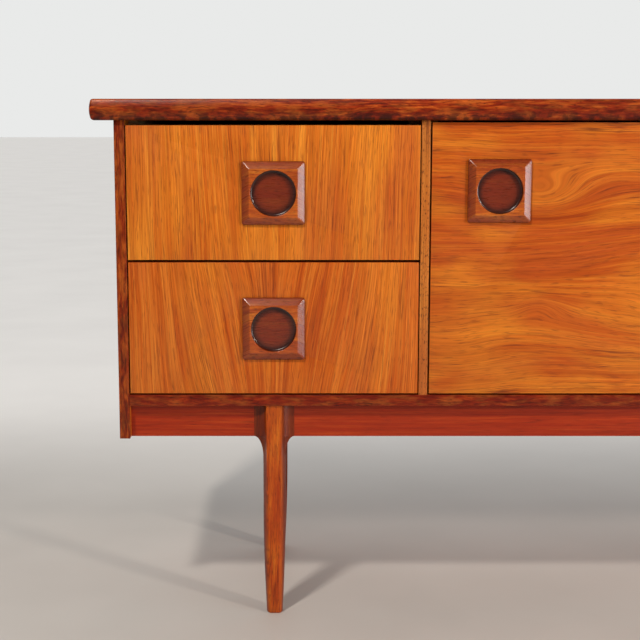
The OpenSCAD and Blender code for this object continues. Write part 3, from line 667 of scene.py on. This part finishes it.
handleShape = {
    "half": 45 * mm, "cornerRadius": 3.5 * mm,
    "wall": 4 * mm,  # height of the upright outer wall
    "bevelWidth": 10.5 * mm,
    "outerArris": 2.4 * mm, "innerArris": 1.2 * mm,
    "hollowRadius": 32.5 * mm, "hollowDepth": 8.5 * mm, "cove": 2.6 * mm,
    "rimArris": 0.7 * mm, "rimLand": 1.1,  # radii of the arris from the hollow to where the flat face starts
    "floorRings": (0.88, 0.8, 0.72, 0.62),  # shares of the hollow's radius, between which the painted shade fades
    "eye": 1 * mm,  # radius of the cap in the floor's middle
    "paintedShade": 0.9, "paintedShadeReach": 0.38,  # how dark the painted shade at the wall's foot is, and how far in from the wall it reaches as a share of the radius
    "hollowShadeDepth": 2 * mm,  # depth at which the painted shade in the hollow is darkest
    "bevelShade": 0.78, "bevelShadeFrom": 0.3 * mm,  # darkness of the painted shade on the bevels and outer wall, and the depth where that is reached
    "crowding": 0.2,  # how far points are drawn towards the four corners
    "around": 160,
}


def squareReach(angle, half, radius):
    # Distance from the centre to a square of that half width whose corners are arcs of that radius
    c, s = np.abs(np.cos(angle)), np.abs(np.sin(angle))
    flat = half / np.maximum(c, s)
    core = half - radius
    along = core * (c + s)
    corner = along + np.sqrt(np.maximum(along ** 2 - 2 * core ** 2 + radius ** 2, 0))
    inCorner = np.minimum(flat * c, flat * s) > core
    return np.where(inCorner, corner, flat)


def makeHandle(body, settings, finish):
    # A profile of reach against rise from the veneer, turned about the handle's middle: outside the hollow
    # each ring is a square with rounded corners, and inside it a circle
    s = settings
    theta = np.linspace(0, 2 * math.pi, s["around"], endpoint=False)
    angle = theta + s["crowding"] * np.sin(4 * theta)
    centre = handleAt[body]
    low, high = handleBoxes[body]
    proud = high.y - low.y
    rim = (s["hollowRadius"] + s["rimArris"] * s["rimLand"], proud, 0)
    outside = roundedLine([
        (s["half"], 0, 0),
        (s["half"], s["wall"], s["outerArris"]),
        (s["half"] - s["bevelWidth"], proud, s["innerArris"]),
        rim,
    ])[:-1]
    floor = proud - s["hollowDepth"]
    inside = roundedLine([
        rim,
        (s["hollowRadius"], proud, s["rimArris"]),
        (s["hollowRadius"], floor, s["cove"]),
        *[(s["hollowRadius"] * share, floor, 0) for share in s["floorRings"]],
        (s["eye"], floor, 0),
    ], steps=9)
    reach, circle = outside[:, :1], inside[:, :1]
    corner = s["cornerRadius"] * (reach / s["half"]) ** 6  # sharper towards the middle
    reach = np.vstack([squareReach(angle, reach, corner), circle + 0 * angle])
    rise = np.concatenate([outside[:, 1], inside[:, 1]])[:, None]
    x = centre.x + reach * np.cos(angle)
    y = high.y - rise + 0 * reach
    z = centre.z + reach * np.sin(angle)
    rings = np.stack([x, y, z], axis=2)
    name, node = camel(body + "_grip"), body + "_handle"
    piece = newPiece(name, rings, finish["handle"], body, [node], sharp=24)
    # Painted shade is full at the foot of the hollow's wall and fades up it and across the floor, as a smooth
    # step;
    # it also lies on the outer wall, next to the veneer. A second painted shade is darkest in the hollow, and
    # a little less dark on the bevels.
    below = proud - inside[:, 1]
    near = np.clip((inside[:, 0] / s["hollowRadius"] - 1 + s["paintedShadeReach"]) / s["paintedShadeReach"], 0, 1)
    paintedShade = s["paintedShade"] * np.concatenate([
        np.sqrt(np.clip(1 - outside[:, 1] / s["wall"], 0, 1)),
        near ** 2 * (3 - 2 * near) * np.clip(below / s["hollowDepth"], 0, 1),
    ])
    attach(piece, "paintedShade", np.repeat(paintedShade, len(angle)))
    deep = np.concatenate([
        s["bevelShade"] * np.clip((proud - outside[:, 1]) / s["bevelShadeFrom"], 0, 1),
        np.clip(below / s["hollowShadeDepth"], 0, 1),
    ])
    attach(piece, "deep", np.repeat(deep, len(angle)))


legShape = {
    "foot": 11.8 * mm,  # half width at the floor
    "shank": 16.2 * mm,  # half width under the shoulders
    "taperHeight": 150 * mm,
    "ridge": (0.42, 0.70),  # half width of the front flat as a share of the leg's, at floor and rails
    "ridgeGrowth": 1.5,  # the power of the height with which the flat widens
    "arris": 0.9 * mm,
    "ridgeEase": 0.3, "ridgeFall": 0.4,  # how far behind the flat it starts, in arrises, and its slope
    "backArris": 0.5 * mm,  # at the rails; below them the back is rounded
    "sideDepth": 11 * mm,  # how far back the rounded sides run at the floor
    "shankHollow": 0.5,  # 0 a rounded side, 0.5 a flat one, 1 a full cove
    "hollowGrowth": 0.7,  # the power of the height with which the sides hollow out
    "flare": 31 * mm,  # height over which the shoulders run down into the leg
    "coveLead": 8 * mm,  # how far below the flare the cove deepens
    "footArris": 2.0 * mm,
    "shadeFrom": 1 * mm, "shadeSpan": 6 * mm,  # depth behind the ridge over which the painted shade grows dark
}


def legLevels(settings, skirt, top):
    # Heights of the level sections: close at the foot's arris, far apart in the shank, and close again in
    # the flare, where they follow a sine
    s = settings
    neck = skirt - s["flare"]
    quarter = np.linspace(0, math.pi / 2, 21)
    return np.concatenate([
        s["footArris"] * (1 - np.cos(quarter[::5])),
        np.linspace(3 * s["footArris"], neck - 1.5 * s["coveLead"], 22),
        np.linspace(neck - s["coveLead"], neck, 4),
        neck + s["flare"] * np.sin(quarter[1:]),
        np.linspace(skirt, top, 5)[1:],
    ])


def makeLeg(node, settings, finish):
    # Level sections, lofted upwards: a flat ridge in front, then a rounded chamfer that turns into a hollow
    # cove where the shoulders spread to meet the rails. The spread follows a quarter ellipse, level at its
    # top. The arrays have a row for every section, with x and y measured from the middle of the ridge.
    s = settings
    low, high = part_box(node)
    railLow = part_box("front_rail_middle")[0]
    railFace = railLow.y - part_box("leg_front_left")[0].y
    skirt = railLow.z
    facing = -1 if low.y + high.y < 0 else 1
    outerFace = low.y if facing < 0 else high.y
    middleX = (low.x + high.x) / 2
    shoulder = (high.x - low.x) / 2
    thickness = high.y - low.y
    z = legLevels(s, skirt, high.z)[:, None]
    rise = np.minimum(z / skirt, 1)
    half = s["foot"] + (s["shank"] - s["foot"]) * np.sin(math.pi / 2 * np.minimum(z / s["taperHeight"], 1))
    below = np.maximum(s["footArris"] - z, 0)
    half = half - s["footArris"] + np.sqrt(s["footArris"] ** 2 - below ** 2)
    ridgeFoot, ridgeTop = s["ridge"]
    ridge = half * (ridgeFoot + (ridgeTop - ridgeFoot) * rise ** s["ridgeGrowth"])
    flare = np.clip((z - skirt + s["flare"]) / s["flare"], 0, 1)  # 0 in the shank, 1 at the rails
    width = half + (shoulder - half) * (1 - np.sqrt(1 - flare ** 2))
    coveSpan = s["flare"] + s["coveLead"]
    cove = np.clip((z - skirt + coveSpan) / coveSpan, 0, 1)
    cove = cove ** 2 * (3 - 2 * cove)
    # Hollow blends a rounded chamfer at 0, where x goes by sine and y by cosine, into a full cove at 1, where
    # they change places
    hollow = s["shankHollow"] * rise ** s["hollowGrowth"] * (1 - cove) + cove
    sideStart = s["sideDepth"] * (1 - hollow) + railFace * hollow
    back = 2 * half * (1 - hollow) + thickness * hollow
    backCut = (half - ridge) * (1 - hollow) + s["backArris"] * hollow
    u = np.linspace(0, math.pi / 2, 13)
    sideX = ridge + (width - ridge) * ((1 - hollow) * np.sin(u) + hollow * (1 - np.cos(u)))
    sideY = sideStart * ((1 - hollow) * (1 - np.cos(u)) + hollow * np.sin(u))
    easedRidge = s["arris"] * s["ridgeEase"] - (sideX - ridge) * s["ridgeFall"]
    sideY = np.maximum(sideY, np.maximum(easedRidge, 0) * hollow)
    v = np.linspace(0, math.pi / 2, 6)
    backX = width - backCut * (1 - np.cos(v))
    backY = back - backCut + backCut * np.sin(v)
    # Half a section: the flat from its middle to its arris, the side, and the back; then its mirror image
    x = np.hstack([0 * z, 0.6 * ridge, ridge - s["arris"], sideX, backX])
    y = np.hstack([0 * z, 0 * z, 0 * z, sideY, backY])
    x = np.hstack([x, -x[:, :0:-1]])
    y = np.hstack([y, y[:, :0:-1]])
    inset = np.where(z < s["taperHeight"], s["shank"] - half, 0)  # the ridge leans back towards the floor
    rings = np.stack([middleX + x, outerFace - facing * (y + inset), z + 0 * x], axis=2)
    piece = newPiece(camel(node), rings, finish["leg"], "case", [node], sharp=28)
    # Painted shade: the sides and coves darken with their depth behind the ridge
    attach(piece, "deep", np.clip((y - s["shadeFrom"]) / s["shadeSpan"], 0, 1).ravel())
    faceOutwards(piece.data)


def faceOutwards(mesh):
    work = bmesh.new()
    work.from_mesh(mesh)
    bmesh.ops.recalc_face_normals(work, faces=work.faces)
    work.to_mesh(mesh)
    work.free()


easing = {
    "fronts": 1.5 * mm,
    "strips": 1.5 * mm,
    "rails": 1.2 * mm,
    "leastTurn": 60,  # degrees; an edge that turns less is left as it is
    "slack": 0.1 * mm,  # how far off its plane an edge still counts as lying in it
}


def easedCopy(name, node, body, materials, ease, picks, paint=None, steps=3):
    # The CAD solid with its doubles merged and the arrises that picks() names rounded over. paint() gives a
    # face's material number from its middle.
    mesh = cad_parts[node].data.copy()
    mesh.name = name
    mesh.materials.clear()
    work = bmesh.new()
    work.from_mesh(mesh)
    bmesh.ops.remove_doubles(work, verts=work.verts, dist=1e-6)
    bmesh.ops.dissolve_limit(work, angle_limit=math.radians(1), verts=work.verts, edges=work.edges)
    turn = math.radians(easing["leastTurn"])
    arrises = [
        e for e in work.edges
        if len(e.link_faces) == 2 and e.calc_face_angle(0) > turn and picks(e.verts[0].co, e.verts[1].co)
    ]
    bmesh.ops.bevel(work, geom=arrises, offset=ease, segments=steps, profile=0.5,
                    affect="EDGES", clamp_overlap=True)
    if paint:
        for face in work.faces:
            face.material_index = paint(face.calc_center_median())
    work.to_mesh(mesh)
    work.free()
    return finishPiece(name, mesh, materials, body, [node], sharp=30)


def atFront(a, b):
    return max(a.y, b.y) < frontY + easing["slack"]


def makeFronts(finish):
    for body, node, slot in (
        ("upper_drawer", "upper_drawer_front", "teak_veneer"),
        ("lower_drawer", "lower_drawer_front", "teak_veneer"),
        ("middle_door", "middle_door_panel", "door_veneer"),
        ("right_door", "right_door_panel", "door_veneer"),
    ):
        easedCopy(camel(body) + "Face", node, body, [finish[body]], easing["fronts"], atFront)
    print("fronts done")


def makeStrips(finish):
    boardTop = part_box("bottom_panel")[1].z
    inner = abs(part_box("side_left")[1].x)

    def stripKind(centre):
        # 0 on the two sides, 1 on the bottom board and 2 on the partitions
        if abs(centre.x) > inner - easing["slack"] / 2:
            return 0
        return 1 if centre.z < boardTop + easing["slack"] / 2 else 2

    skins = [finish["uprightEdge"], finish["boardEdge"], finish["tanEdge"]]
    easedCopy("frontEdgeStrips", "front_edge_strips", "case", skins,
              easing["strips"], atFront, stripKind, steps=4)
    print("front edge strips done")


def makeUnderframe(finish):
    for node in ("leg_front_left", "leg_front_right", "leg_back_left", "leg_back_right"):
        makeLeg(node, legShape, finish)
    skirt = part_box("front_rail_middle")[0].z

    def lowArris(a, b):
        return max(a.z, b.z) < skirt + easing["slack"] and abs(a.x - b.x) > abs(a.y - b.y)

    for place in ("front", "back"):
        for part in ("left", "middle", "right"):
            name = f"{place}Rail{part.title()}"
            node = f"{place}_rail_{part}"
            easedCopy(name, node, "case", [finish["rail"]], easing["rails"], lowArris)
    print("underframe done")


# The CAD solids that stay keep their own mesh and take one of these finishes
paintedNodes = {
    "flatVeneer": ["top_panel", "bottom_panel", "shelf_middle", "shelf_right"],
    "sideVeneer": ["side_left", "side_right", "partition_left", "partition_right"],
    "back": ["back_panel"],
    "drawerSide": [
        "top_cleats", "drawer_runners", "drawer_stops",
        "upper_drawer_side_left", "upper_drawer_side_right",
        "lower_drawer_side_left", "lower_drawer_side_right",
    ],
    "drawerBack": ["upper_drawer_back", "lower_drawer_back"],
    "ply": ["upper_drawer_bottom", "lower_drawer_bottom"],
    "crossRail": ["cross_rail_left", "cross_rail_right"],
    "brass": [
        "shelf_pegs", "case_hinge_leaves", "case_hinge_screws", "hinge_pins",
        "middle_door_hinge_leaves", "right_door_hinge_leaves",
        "middle_door_screws", "right_door_screws",
    ],
    "steel": [
        "back_panel_screws", "cleat_screws", "frame_screws",
        "upper_drawer_screws", "lower_drawer_screws",
        "middle_door_strike", "right_door_strike",
    ],
    "plastic": ["door_catches"],
}


def paintNodes(nodesOf, finish):
    for skin, nodes in nodesOf.items():
        for node in nodes:
            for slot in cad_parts[node].material_slots:
                slot.material = finish[skin]
    print("nodes painted")


floorLook = {
    "reach": 30.0,
    "tones": [(0.3, "bdb9b4"), (0.7, "c6c2bd")],
    "clouds": 3.0,  # to the metre
    "sweepFrom": 0.15, "sweepTo": 1.5,  # Y where the floor's painted glow starts, and where it is full
    "sweepGlow": 0.42, "sweepTint": "f4f1ee",
    "roughness": 0.6,
}


def makeFloor(settings):
    # Matt painted studio floor, faintly clouded; far behind the sideboard it glows by emission, painted light
    # that makes it paler like a lit sweep
    material, tree = newMaterial("paleStudioFloor")
    place = add(tree, "TexCoord").outputs["Object"]
    cloud = add(tree, "TexNoise", {"Vector": place, "Scale": settings["clouds"], "Detail": 3})
    tint = add(tree, "ValToRGB", {0: cloud}, stops=settings["tones"])
    sweep = add(tree, "MapRange", {
        0: add(tree, "SeparateXYZ", {0: place}).outputs["Y"],
        1: settings["sweepFrom"], 2: settings["sweepTo"], 3: 0.0, 4: settings["sweepGlow"],
    }, interpolation_type="SMOOTHSTEP")
    # Painted light: the emission brightens the far floor
    surface(tree, Base_Color=tint, Roughness=settings["roughness"],
            Emission_Color=linear(settings["sweepTint"]), Emission_Strength=sweep)
    mesh = bpy.data.meshes.new("floor")
    reach = settings["reach"]
    corners = [(-reach, -reach, 0), (reach, -reach, 0), (reach, reach, 0), (-reach, reach, 0)]
    mesh.from_pydata(corners, [], [(0, 1, 2, 3)])
    mesh.materials.append(material)
    floor = bpy.data.objects.new("floor", mesh)
    bpy.context.scene.collection.objects.link(floor)
    print("floor done")


finish = makeMaterials()
placeCamera(viewpoint)
lightScene(softBoxes, roomGlow, lightAim)
makeFloor(floorLook)
makeTopEdges(topEdge, finish)
makeFronts(finish)
makeStrips(finish)
for body in handles:
    makeHandle(body, handleShape, finish)
print("handles done")
makeUnderframe(finish)
paintNodes(paintedNodes, finish)
